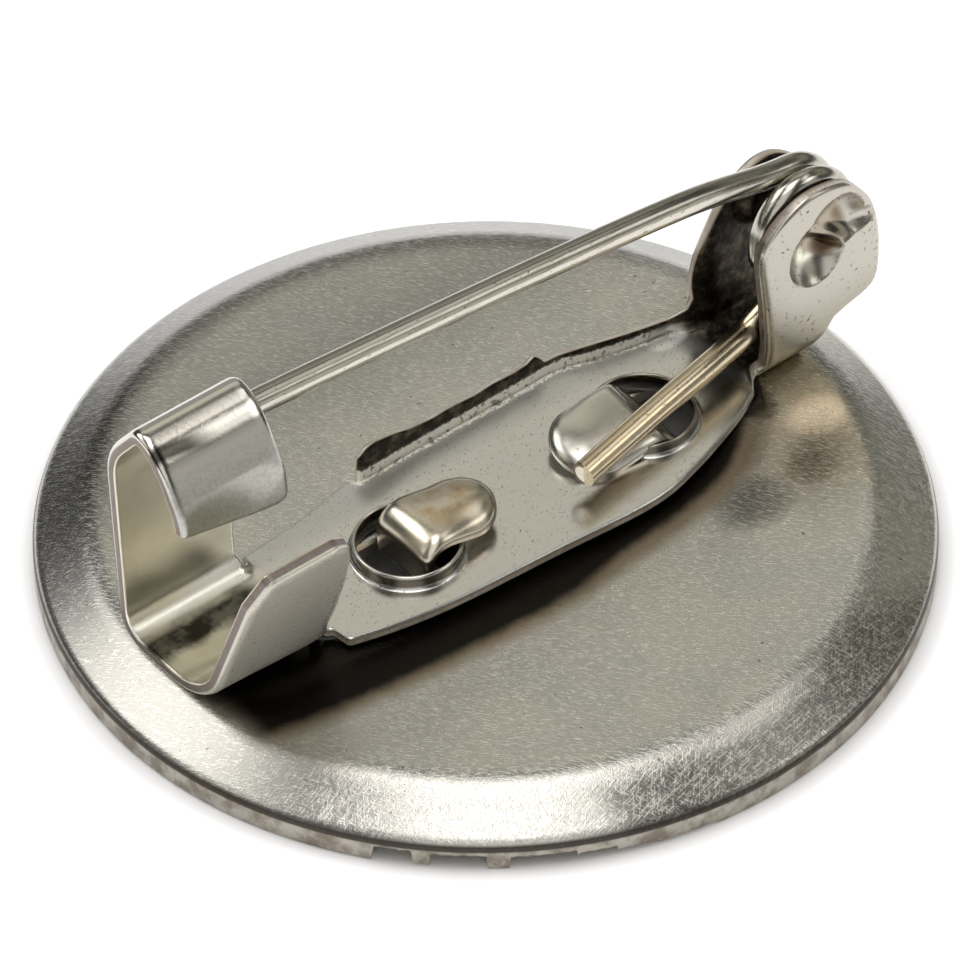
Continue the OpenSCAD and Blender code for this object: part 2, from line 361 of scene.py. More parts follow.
# Rows down a cut edge, as shares of the sheet's thickness
CUT_ROWS = (0.15, 0.5, 0.85)
# Gap from the grid to the edges of a formed sheet and of the flat
FORMED_GAP = 0.3
FLAT_GAP = 0.1
# How wide and how deep an edge is rolled over: outer face of the bar and of the tabs, inner face
BAR_ROLL = (0.24, 0.13)
TAB_ROLL = (0.32, 0.19)
INNER_ROLL = (0.05, 0.03)


def rolled(distance, width, depth):
    """How far a face falls away near an edge that the punch rolled over."""
    t = np.clip(1 - distance / width, 0, 1)
    return depth * (1 - np.sqrt(np.clip(1 - t * t, 0, 1)))


def rows_beside(loops):
    """Rows of places inside a sheet along its outlines."""
    rows = []
    for loop in loops:
        ahead = np.roll(loop, -1, axis=0)
        run = ahead - np.roll(loop, 1, axis=0)
        run /= np.linalg.norm(run, axis=1)[:, None]
        area = (loop[:, 0] * ahead[:, 1] - ahead[:, 0] * loop[:, 1]).sum()
        inward = np.stack([-run[:, 1], run[:, 0]], 1) * math.copysign(1, area)
        if loop is not loops[0]:
            inward = -inward
        for gap in EDGE_ROWS:
            near = loop + inward * gap
            rows.append(near[(loop_distance(near, loops) > EDGE_KEEP * gap) & inside(near, loops)])
    return rows


def triangles(loops, grid, gap, rows=()):
    """Fills a flat sheet with triangles, on its outlines, on rows of places and on a grid.

    Gives the places, the triangles and the number that each place of the outlines got.
    """
    grid = grid[inside(grid, loops)]
    grid = grid[loop_distance(grid, loops) > gap]
    edges = []
    base = 0
    for loop in loops:
        n = len(loop)
        edges += [(base + i, base + (i + 1) % n) for i in range(n)]
        base += n
    flat = np.vstack([*loops, *rows, grid])
    found = delaunay_2d_cdt([Vector(p) for p in flat], edges, [], 0, 1e-7)
    uv = np.array([tuple(p) for p in found[0]])
    faces = np.array(found[2])
    faces = faces[inside(uv[faces].mean(1), loops)]
    got = {old: new for new, olds in enumerate(found[3]) for old in olds}
    return uv, faces, got


def formed_sheet(piece, outline, grid, place, roll, holes=()):
    """Cuts a sheet to an outline and forms it.

    outline is a closed run of flat places, grid the places inside it that carry the shape, and place
    gives the outer face, the direction of the thickness and what the thickness is there. The holes
    are left open for collars.
    """
    loops = [outline, *holes]
    uv, faces, got = triangles(loops, grid, FORMED_GAP, rows_beside(loops))
    gap = loop_distance(uv, [outline])
    outer, normal, size = place(uv[:, 0], uv[:, 1])
    under = outer + normal * rolled(gap, *roll)[:, None]
    over = outer + normal * (size - rolled(gap, *INNER_ROLL))[:, None]
    low, high = piece.add(under), piece.add(over, inner=1.0)
    piece.skins(high, low, faces)
    edge = np.array([got[i] for i in range(len(outline))])
    walls = [low[edge]]
    for share in CUT_ROWS:
        walls.append(piece.add(under[edge] + (over - under)[edge] * share, cut=1.0, inner=share))
    walls.append(high[edge])
    for first, second in zip(walls, walls[1:]):
        piece.strip(first, second)


def place_grid(columns, rows):
    """Places of a grid of columns and rows."""
    u, v = np.meshgrid(columns, rows, indexing="ij")
    return np.stack([u.ravel(), v.ravel()], 1)


def circle(angles, radius, x=0.0, y=0.0):
    """Flat places on a circle at angles in degrees."""
    a = np.radians(angles)
    return np.stack([x + radius * np.cos(a), y + radius * np.sin(a)], 1)


# The shell

# How soft a notch's ends are in degrees, and where the upright rim begins
NOTCH_END = 0.12
RIM_TOP = 0.6


def rim_foot(angle):
    """Height of the rim's lower edge at an angle in degrees."""
    height = np.zeros_like(angle)
    for first, last, notch in RIM_NOTCHES:
        height = np.maximum(height, notch * fade(angle, first - NOTCH_END, first + NOTCH_END)
                            * (1 - fade(angle, last - NOTCH_END, last + NOTCH_END)))
    wobble = 0.012 * np.sin(angle * 3.7) + 0.008 * np.sin(angle * 9.1 + 1)
    return np.where(height > 0.02, height + wobble, 0)


def dip(x, y):
    """How far the flat is pressed down at a place."""
    inward = y - from_table(x, DIP_START)
    across = fade(inward, -0.25, 1.7) * (1 - fade(inward, 1.35, 2.1)) / fade(1.45, -0.25, 1.7)
    ends = fade(x, -10.4, -9.2) * (1 - fade(x, 5.0, 7.4)) * (1 - fade(np.hypot(x, y), 9.8, 10.9))
    return DIP_DEPTH * across * ends


def shell_rows(angles, path, thick):
    """Rows of points round the shell from its flat to the rim and back inside, and their marks."""
    line, heading = rounded_path(path, 0.12)
    keep = line[:, 0] >= LATHE_FROM
    line = np.vstack([[LATHE_FROM, FLAT_Z], line[keep]])
    heading = np.concatenate([[0], heading[keep]])
    inner = line + thick * np.stack([np.sin(heading), -np.cos(heading)], 1)
    inner[0] = (LATHE_FROM, FLAT_Z - thick)
    rim = path[-1][0]
    back = rim - thick
    foot = rim_foot(angles)

    def down(share, above):
        return RIM_TOP + (foot + above - RIM_TOP) * share

    rows = [(r, z, 0) for r, z in line[line[:, 1] > RIM_TOP]]
    rows += [(rim, down(share, 0.08), 0) for share in (0.35, 0.65, 0.85, 1)]
    rows += [(rim - 0.012, foot + 0.035, 0), (rim - 0.045, foot + 0.006, 1), (rim - 0.12, foot, 1),
             (back + 0.1, foot, 1), (back + 0.02, foot + 0.01, 1)]
    rows += [(back, down(share, 0.04), 0) for share in (1, 0.85, 0.5)]
    rows += [(r, z, 0) for r, z in inner[(inner[:, 1] > RIM_TOP) | (inner[:, 0] < 12)][::-1]]
    points = []
    for r, z, _ in rows:
        flat = circle(angles, r)
        points.append(np.column_stack([flat, z - dip(*flat.T)]))
    return points, [mark for _, _, mark in rows]


def slot_loop(tab):
    """Outline of the opening a tab was cut from."""
    root, tip, middle, width = tab[:4]
    way = 1 if tip > root else -1
    half = width / 2 + SLOT_GAP
    far = root - way * SLOT_LEN
    near = root + way * SLOT_PAST
    rows = [(near, middle - half, SLOT_CORNER), (near, middle + half, SLOT_CORNER),
            (far, middle + half, half), (far, middle - half, half)]
    return rounded_loop(rows, 0.12)


def tab_place(tab, thick):
    """Maps a tab's flat shape to the raised and clinched one."""
    root, tip, middle, width, height, lean = tab
    way = 1 if tip > root else -1
    low, high = FLAT_Z - thick + 0.002, FLAT_Z + height
    at_root, at_top = TAB_BENDS
    path = [(root + way * 1.2, low, 0), (root, low, at_root), (root, high, at_top), (tip + way * 3, high, 0)]
    line, heading = rounded_path(path, 0.02)
    along = run_length(line)
    tip_at = float(np.interp(way * tip, way * line[along > 2][:, 0], along[along > 2]))

    def place(u, v):
        x = np.interp(u, along, line[:, 0])
        z = np.interp(u, along, line[:, 1])
        h = np.interp(u, along, heading)
        top = fade(z, FLAT_Z + 0.2, high)
        across = 2 * v / width
        domed = (0.36 if root < 0 else 0.2) * (0.3 + 0.7 * fade(u, tip_at - 2.3, tip_at - 1.0))
        crown = (domed * across**2 + 0.2 * fade(u, tip_at - 1.3, tip_at + 0.3)**2) * top
        tilt = math.tan(math.radians(lean)) * (v + width / 2) * top
        outer = np.stack([x, middle + v, z - crown + tilt], 1)
        normal = np.stack([np.sin(h), np.zeros(len(x)), -np.cos(h) * way], 1)
        return outer, normal, np.full(len(u), thick - 0.006)

    return place, tip_at


def make_shell(sizes):
    """The stamped shell with its torn rim and its two clinched tabs."""
    thick = sizes.sheet / MM
    path = [list(p) for p in SHELL_PATH]
    path[2][0] = path[3][0] = sizes.diameter / MM / 2
    first, last = NOTCHED
    angles = np.concatenate([np.arange(first, last, FINE_STEP), np.arange(last, first + 360, PLAIN_STEP)])
    piece = Piece()
    piece.grid(*shell_rows(angles, path, thick))

    slots = [slot_loop(tab) for tab in TABS]
    grid = np.vstack([place_grid(np.arange(-9, 9.1, 0.9), np.arange(-9, 9.1, 0.9)),
                      place_grid(np.arange(-9.45, 7.6, 0.2), np.arange(-5.25, -1.9, 0.11))])
    uv, faces, _ = triangles([circle(angles, LATHE_FROM), *slots], grid, FLAT_GAP)
    height = FLAT_Z - dip(*uv.T)
    top, low = [piece.add(np.column_stack([uv, height - down])) for down in (0, thick)]
    piece.skins(top, low, faces)
    for loop in slots:
        heights = (FLAT_Z, FLAT_Z - 0.02, FLAT_Z - thick + 0.02, FLAT_Z - thick)
        piece.grid([np.column_stack([loop, np.full(len(loop), z)]) for z in heights], 1.0)
    for tab in TABS:
        place, tip_at = tab_place(tab, thick)
        half = tab[3] / 2
        outline = rounded_loop([(0.35, -half, 0.02), (tip_at, -half, half * 0.98),
                                (tip_at, half, half * 0.98), (0.35, half, 0.02)], 0.06)
        grid = place_grid(np.arange(0.4, tip_at, 0.08), np.arange(-half, half + 0.01, 0.12))
        formed_sheet(piece, outline, grid, place, TAB_ROLL)
    return piece.finish("stamped_shell")


# The bar

WALL_LINE, WALL_TURN = rounded_path(WALL_PATH, 0.02)
WALL_ALONG = run_length(WALL_LINE)
# Bend radius at the foot of the flange, and of the guard at its outer and inner end
FLANGE_FOLD = 0.3
GUARD_FOLDS = (2.3, 1.6)
# How much thinner the sheet is where the flange was torn and where a dimple is pressed
FLANGE_THINNER = 0.14
DIMPLE_THINNER = 0.2


def wall_at(y, z):
    """Developed distance along the catch's wall and curl of the place nearest to (y, z)."""
    return float(WALL_ALONG[np.argmin((WALL_LINE[:, 0] - y) ** 2 + (WALL_LINE[:, 1] - z) ** 2)])


def far_foot(x):
    """Outer corner and bend radius of the upturned far side."""
    return from_table(x, FAR_FOOT), FLANGE_FOLD + (EAR_FOLD - FLANGE_FOLD) * fade(x, 7.8, 9.0)


def near_foot(x):
    """Outer corner, bend radius and angle of the upturned near side."""
    catch = x < 0
    outer, inner = GUARD_FOLDS
    corner = np.where(catch, GUARD_FOOT, NEAR_EAR_FOOT)
    radius = np.where(catch, outer - (outer - inner) * fade(x, -10.9, -7.4), EAR_FOLD)
    angle = np.where(catch, math.pi / 2 - GUARD_LEAN, math.pi / 2)
    return corner, radius, angle


def far_s(x, z):
    """Developed place of a height on the upturned far side."""
    corner, radius = far_foot(x)
    return float(corner + z - (2 - math.pi / 2) * radius)


def near_s(x, z):
    """Developed place of a height on the upturned near side."""
    corner, radius, angle = near_foot(np.array(x))
    start = corner - radius * np.tan(angle / 2)
    up = radius * (1 - np.cos(angle))
    return float(-(start + radius * angle + (z - up) / np.sin(angle)))


# The far ear's dimple: depth, foot and top of its slope
FAR_DIMPLE = (0.6, 0.62, 1.05)
# The near ear's dimple, three hollows: middle from the coil's, stretch, squared reach, depth, power
NEAR_DIMPLE = [
    ((-0.1, -0.5), (1.0, 0.9), 1.06, 0.62, 0.8),
    ((0.6, 0.22), (0.95, 1.0), 0.95, 0.5, 0.8),
    ((1.2, -0.1), (0.8, 1.6), 0.5, 0.3, 1.0),
]


def far_dimple(u, v):
    """How far the far ear is pressed in at a place from the coil's middle."""
    depth, low, high = FAR_DIMPLE
    return depth * (1 - fade(np.hypot(u, v), low, high))


def near_dimple(u, v):
    """How far the near ear is pressed in, in three hollows with a ridge across them."""
    press = np.zeros(len(u))
    for (at_u, at_v), (wide, high), reach, depth, power in NEAR_DIMPLE:
        away = np.hypot(wide * (u - at_u), high * (v - at_v)) ** 2 / reach
        press = np.maximum(press, depth * np.clip(1 - away, 0, 1) ** power)
    across = 0.54 * (u - 0.2) + 0.84 * (v + 0.1)
    return press * (1 - 0.45 * np.exp(-((across - 0.02) / 0.2) ** 2))


def bar_place(x, s, thick):
    """Maps the bar's flat shape to the formed one."""
    far, catch = s >= 0, x < -4
    wall = [np.interp(s, WALL_ALONG, run) for run in (*WALL_LINE.T, WALL_TURN)]
    corner, radius = far_foot(x)
    flange = one_bend(s, corner, radius, np.full(len(s), math.pi / 2))
    near = one_bend(-s, *near_foot(x))
    y, z, turn = [np.where(far, np.where(catch, a, b), sign * c)
                  for a, b, c, sign in zip(wall, flange, near, (-1, 1, -1))]
    at_far = fade(x, -2.75, -2.45)
    at_near = np.maximum(fade(x, 8.15, 8.72), fade(-s, 2.0, 2.3) * (x > 8.4))
    bent = np.where(catch, 1 - fade(x, -7.22, -6.8), np.where(far, at_far, at_near))
    z = z * bent
    outer = np.stack([x, s + (y - s) * bent, z + BAR_Z], 1)
    normal = np.stack([np.zeros(len(x)), -np.sin(turn) * bent, 1 + (np.cos(turn) - 1) * bent], 1)
    normal /= np.linalg.norm(normal, axis=1)[:, None]
    raised = fade(s, corner - 0.25, corner + 0.05)
    torn = raised * fade(x, -2.9, -2.5) * (1 - fade(x, 8.2, 9.2))
    u, v = x - COIL_X, z - COIL_H
    press = np.where(far, far_dimple(u, v), near_dimple(u, v)) * ((x > 8.4) & (z > 0.9))
    outer += normal * press[:, None]
    size = thick - FLANGE_THINNER * torn - DIMPLE_THINNER * np.clip(press / 0.6, 0, 1)
    return outer, normal, size


def bar_outline():
    """Flat outline of the whole bar, as places along it and developed across it."""
    curl_end = -7.5
    flap_low_left = wall_at(-1.07, 5.84)
    flap_low_right = wall_at(-1.07, 5.3)
    curl = wall_at(1.9, 7.0)
    rows = [(-6.7, -1.72, 0.1), (-6.62, -2.3, 0.15)]
    rows += [(p[0], p[1], 0) for p in smooth_run(NEAR_EDGE, 0.3)]
    rows += [(8.9, -1.74, 0.1)]
    rows += [(x, near_s(x, z), 0) for x, z in smooth_run(NEAR_EAR, 0.15)]
    rows += [(11.2, -1.8, 0.2), (10.75, -1.2, 0.2), (10.75, 0.0, 0), (11.38, 1.7, 0.15)]
    rows += [(x, far_s(x, z), 0) for x, z in smooth_run(FAR_EAR, 0.15)]
    rows += [(x, far_s(x, z), 0.06) for x, z in FLANGE_TOP]
    rows += [(-2.56, 2.62, 0.05)]
    rows += [(p[0], p[1], 0) for p in smooth_run(FAR_EDGE, 0.3)]
    rows += [(-6.84, 2.05, 0.08), (-7.14, 1.98, 0.1), (-7.3, 2.6, 0.3), (-7.3, curl - 0.8, 0.5),
             (curl_end, curl + 0.5, 0.5), (curl_end, flap_low_right + 0.1, 0.55),
             (-8.3, flap_low_right, 0.6), (CATCH_X, flap_low_left, 0.12)]
    rows += [(x, near_s(x, z), r) for x, z, r in GUARD_SIDE]
    rows += [(-7.1, -2.0, 0.3), (-7.02, -1.62, 0.12)]
    return rounded_loop(rows, 0.075)


def bar_grid():
    """Flat places inside the bar that carry its bends."""
    def steps(*runs):
        return np.concatenate([np.arange(a, b, d) for a, b, d in runs])
    across = steps((-9, -3, 0.16), (-3, -0.2, 0.11), (-0.2, 0.8, 0.16), (0.8, 3, 0.08), (3, 6.2, 0.2),
                   (6.2, 13, 0.09))
    catch = place_grid(np.arange(CATCH_X, -6.55, 0.16), across)
    plate = place_grid(np.arange(-6.5, 8.3, 0.2), np.arange(-3.6, 2.2, 0.2))
    foot = []
    for x in np.arange(-2.9, 8.8, 0.09):
        corner = far_foot(x)[0]
        foot += [(x, corner + d) for d in np.arange(-0.42, 1.6, 0.06)]
    ear_s = steps((-7.5, -2.05, 0.09), (-2.05, -0.7, 0.09), (-0.7, 0.65, 0.2), (0.65, 2.0, 0.09),
                  (2.0, 7, 0.09))
    ears = place_grid(np.arange(8.35, 13.3, 0.09), ear_s)
    ears = ears[(ears[:, 1] < 1.0) | (ears[:, 0] > 8.85)]
    middle = -near_s(COIL_X, COIL_H)
    pressed = place_grid(np.arange(9.33, 12.7, 0.05), np.arange(-middle - 1.9, -middle + 1.9, 0.05))
    return np.vstack([catch, plate, np.array(foot), ears, pressed])


def collar_rows(hole, angles, thick):
    """Rows of the collar raised round a hole, from the plate's top over the lip to its underside."""
    x, y, lip = hole
    cos, sin = circle(angles, 1.0).T
    press = fade(cos if x < 0 else -cos, 0.35, 0.8) * fade(0.9 - np.abs(sin), 0.0, 0.3)
    height = lip - press * (0.03 if x < 0 else 0.27)
    top = thick + height
    quarter = [(math.sin(a), 1 - math.cos(a)) for a in np.radians(np.arange(0, 91, 15))]
    rows = [(COLLAR_R, thick), (COLLAR_R - 0.15, thick)]
    rows += [(COLLAR_FOOT - COLLAR_BEND * rise, thick + COLLAR_BEND * run * height / COLLAR_LIP)
             for rise, run in quarter]
    rows += [(HOLE_R + 0.12, top - 0.05), (HOLE_R + 0.1, top - 0.015), (HOLE_R + 0.06, top),
             (HOLE_R + 0.015, top - 0.02), (HOLE_R, top - 0.07), (HOLE_R, thick)]
    rows += [(HOLE_R + COLLAR_MOUTH * run, COLLAR_MOUTH * (1 - rise)) for rise, run in quarter]
    rows += [(COLLAR_R - 0.1, 0), (COLLAR_R, 0)]
    return [np.column_stack([circle(angles, r, x, y), BAR_Z + z + 0 * angles]) for r, z in rows]


def make_bar(sizes):
    """The formed bar: plate, collars, catch, guard tab, flange and ears in one sheet."""
    thick = sizes.sheet / MM
    piece = Piece()
    angles = np.arange(0, 360, 3.0)
    rings = [circle(angles, COLLAR_R, x, y) for x, y, _ in HOLES]

    def place(x, s):
        return bar_place(x, s, thick)

    formed_sheet(piece, bar_outline(), bar_grid(), place, BAR_ROLL, rings)
    for hole in HOLES:
        piece.grid(collar_rows(hole, angles, thick))
    return piece.finish("formed_bar")


# The wire

def wire_path():
    """Middle of the spring wire from the hidden point, round the coil to the end of the tail."""
    def on_coil(degrees, y):
        a = math.radians(degrees)
        return (COIL_X + COIL_R * math.cos(a), y, COIL_H + COIL_R * math.sin(a))
    arm = smooth_run([on_coil(80, FAR_TURN_Y)] + ARM_POINTS, WIRE_STEP)[::-1]
    far_turn = [on_coil(a, FAR_TURN_Y) for a in np.arange(74, -91, -COIL_STEP)]
    crossing = []
    for k in np.linspace(0, 1, 16)[1:-1]:
        crossing.append(on_coil(-90 - 90 * k, FAR_TURN_Y + (NEAR_TURN_Y - FAR_TURN_Y) * fade(k, 0, 1)))
    near_turn = [on_coil(a, NEAR_TURN_Y) for a in np.arange(180, -61, -COIL_STEP)]
    tail = smooth_run([on_coil(-60, NEAR_TURN_Y)] + TAIL_POINTS, WIRE_STEP)[1:]
    line = np.vstack([arm, far_turn, crossing, near_turn, tail])
    return line + np.array([0, 0, BAR_Z])


def wire_tree(material):
    """Geometry Nodes that give a path its round section, and the identifier of its radius."""
    tree = bpy.data.node_groups.new("Round wire", "GeometryNodeTree")
    tree.interface.new_socket("Path", in_out="INPUT", socket_type="NodeSocketGeometry")
    radius = tree.interface.new_socket("Radius", in_out="INPUT", socket_type="NodeSocketFloat")
    tree.interface.new_socket("Wire", in_out="OUTPUT", socket_type="NodeSocketGeometry")
    make = Nodes(tree)
    path = make.node("NodeGroupInput")
    asked = Value(make, path.socket.node.outputs["Radius"])
    curve = make.node("GeometryNodeMeshToCurve", inputs={"Mesh": path})
    section = make.node("GeometryNodeCurvePrimitiveCircle",
                        inputs={"Resolution": WIRE_SIDES, "Radius": asked})
    swept = make.node("GeometryNodeCurveToMesh",
                      inputs={"Curve": curve, "Profile Curve": section, "Fill Caps": True})
    real = make.node("GeometryNodeRealizeInstances", inputs=[swept])
    wire = make.node("GeometryNodeSetMaterial", inputs={"Geometry": real, "Material": material})
    make.node("NodeGroupOutput", inputs=[wire])
    return tree, radius.identifier


def from_nodes(name, points, tree, values):
    """Runs a tree on a path of points and gives the plain mesh it makes."""
    path = bpy.data.meshes.new(name + " path")
    path.from_pydata((points * MM).tolist(), [(i, i + 1) for i in range(len(points) - 1)], [])
    holder = add_object(name + " path", path)
    modifier = holder.modifiers.new("Nodes", "NODES")
    modifier.node_group = tree
    for key, value in values.items():
        modifier[key] = value
    graph = bpy.context.evaluated_depsgraph_get()
    mesh = bpy.data.meshes.new_from_object(holder.evaluated_get(graph))
    bpy.data.objects.remove(holder)
    return add_object(name, mesh)


def make_wire(sizes, material):
    """The spring wire as one swept round."""
    tree, radius = wire_tree(material)
    obj = from_nodes("spring_wire", wire_path(), tree, {radius: sizes.diameter / 2})
    obj.data.shade_smooth()
    return obj


# Shader maths

def maths(operation, turned=False):
    """A method of Value that adds one Math node, with the value last where it is turned."""
    def method(self, *others):
        return self.make.math(operation, *((*others, self) if turned else (self, *others)))
    return method


class Value:
    """A node's socket that can be used in arithmetic."""

    def __init__(self, make, socket):
        self.make = make
        self.socket = socket

    __add__ = __radd__ = maths("ADD")
    __sub__ = maths("SUBTRACT")
    __rsub__ = maths("SUBTRACT", turned=True)
    __mul__ = __rmul__ = maths("MULTIPLY")
    __truediv__ = maths("DIVIDE")
    __pow__ = maths("POWER")
    __abs__ = maths("ABSOLUTE")
    most = maths("MAXIMUM")
    least = maths("MINIMUM")

    def square(self):
        return self * self

    def between(self, low, high, first=0.0, last=1.0):
        """0 below low, 1 above high, smooth between."""
        return self.make.node("ShaderNodeMapRange", {"interpolation_type": "SMOOTHSTEP"},
                              {"Value": self, "From Min": low, "From Max": high,
                               "To Min": first, "To Max": last})

    def below(self, low, high):
        """1 below low, 0 above high, smooth between."""
        return self.between(low, high, 1.0, 0.0)


class Nodes:
    """Builds a node tree from Python expressions."""

    def __init__(self, tree):
        self.tree = tree

    def node(self, kind, settings=None, inputs=(), output=0):
        """Adds a node, with its settings first, and gives one of its outputs."""
        made = self.tree.nodes.new(kind)
        for name, value in (settings or {}).items():
            setattr(made, name, value)
        for key, value in inputs.items() if isinstance(inputs, dict) else enumerate(inputs):
            if isinstance(value, Value):
                self.tree.links.new(value.socket, made.inputs[key])
            else:
                made.inputs[key].default_value = value
        return Value(self, made.outputs[output]) if made.outputs else None

    def math(self, operation, *values):
        return self.node("ShaderNodeMath", {"operation": operation}, values)

    def mix(self, share, first, second, way="MIX"):
        """Mixes two colours."""
        ends = [end if isinstance(end, Value) else (*end, 1) for end in (first, second)]
        return self.node("ShaderNodeMix", {"data_type": "RGBA", "blend_type": way},
                         {0: share, 6: ends[0], 7: ends[1]}, 2)

    def dot(self, vector, axis):
        """How far a vector runs along an axis."""
        return self.node("ShaderNodeVectorMath", {"operation": "DOT_PRODUCT"},
                         {0: vector, 1: tuple(axis)}, "Value")

    def place(self, size=(1, 1, 1), turn=(0, 0, 0)):
        """Object coordinates turned by degrees and counted in steps of a size in millimetres."""
        return self.node("ShaderNodeMapping", {"vector_type": "TEXTURE"},
                         {"Vector": self.node("ShaderNodeTexCoord", output="Object"),
                          "Scale": tuple(k * MM for k in size),
                          "Rotation": tuple(math.radians(a) for a in turn)})

    def parts(self):
        """The place on the piece in millimetres, as three numbers."""
        split = self.node("ShaderNodeSeparateXYZ", inputs=[self.place()]).socket.node
        return [Value(self, socket) for socket in split.outputs]

    def mark(self, name):
        """A mark that the mesh carries."""
        return self.node("ShaderNodeAttribute", {"attribute_name": name}, output="Fac")

    def noise(self, scale=1.0, detail=2.0, rough=0.5, size=(1, 1, 1), turn=(0, 0, 0)):
        return self.node("ShaderNodeTexNoise", inputs={"Vector": self.place(size, turn), "Scale": scale,
                                                       "Detail": detail, "Roughness": rough})

    def worms(self, scale, thin):
        """Thin curly lines: 1 on them, 0 off."""
        return abs(self.noise(scale, 1.0) - 0.5).below(0.0, thin)

    def scratches(self, long, thin, turn, low, high):
        """Sparse short scratches that run one way: 1 in them, 0 off."""
        return self.noise(1.0, 1.0, size=(long, thin, long), turn=turn).between(low, high)

    def bump(self, height, depth):
        """Normal of a surface raised by height times depth, in millimetres."""
        return self.node("ShaderNodeBump", inputs={"Height": height, "Distance": depth * MM})

    def feed(self, shader, **sockets):
        """Joins values to a shader's sockets."""
        for name, value in sockets.items():
            self.tree.links.new(value.socket, shader.inputs[name.replace("_", " ")])


def spot(u, v, near, far, wide=1.0, high=1.0):
    """A round spot: 1 up to the squared distance near, 0 past far."""
    return (u.square() * wide + v.square() * high).below(near, far)


def tint(colour, warm):
    """A stain of a colour."""
    return tuple(c * w for c, w in zip(colour, warm))


def new_material(name):
    """An empty material, its nodes and its shader."""
    material = bpy.data.materials.new(name)
    material.use_nodes = True
    return material, Nodes(material.node_tree), material.node_tree.nodes["Principled BSDF"]


class Finish:
    """A metal's finish, laid on in layers over one plain colour."""

    def __init__(self, name, colour, first):
        self.material, self.make, self.shader = new_material(name)
        self.shader.inputs["Metallic"].default_value = 1.0
        self.plain = tuple(colour)
        self.colour = tint(colour, first)

    def cover(self, share, colour):
        """Lays a colour over the finish."""
        self.colour = self.make.mix(share, self.colour, colour)

    def shade(self, share, warm):
        """Lays a tint of the plain colour over the finish."""
        self.cover(share, tint(self.plain, warm))

    def done(self, height, depth, **sockets):
        """Joins the layers, the relief and the rest to the shader and gives the material."""
        self.make.feed(self.shader, Base_Color=self.colour, Normal=self.make.bump(height, depth), **sockets)
        return self.material


# The finishes. Places in them are on the part in millimetres, and tints multiply the plain colour.

# Scratches on the shell: length, width, turn, and the noise where one begins and where it is full
SHELL_SCRATCHES = [
    (0.28, 0.034, (0, 0, -63), 0.54, 0.66),
    (0.25, 0.032, (0, 0, -40), 0.57, 0.68),
    (0.45, 0.042, (0, 0, 9), 0.55, 0.67),
    (0.32, 0.042, (0, 0, 48), 0.56, 0.68),
    (0.32, 0.04, (0, 0, -95), 0.57, 0.69),
]
SHELL_RELIEF = 0.0036
# Painted highlight and painted shade on the flat by the near ear, as soft spots: place, reach and tint
FLAT_PAINTED_LIGHT = [
    (9.2, -3.4, 0.9, (1.95, 1.72, 1.42)),
    (7.7, -4.8, 0.7, (0.42, 0.37, 0.28)),
    (5.5, -4.9, 1.5, (0.26, 0.26, 0.26)),
]
SHADOW = (0.01, 0.009, 0.008)


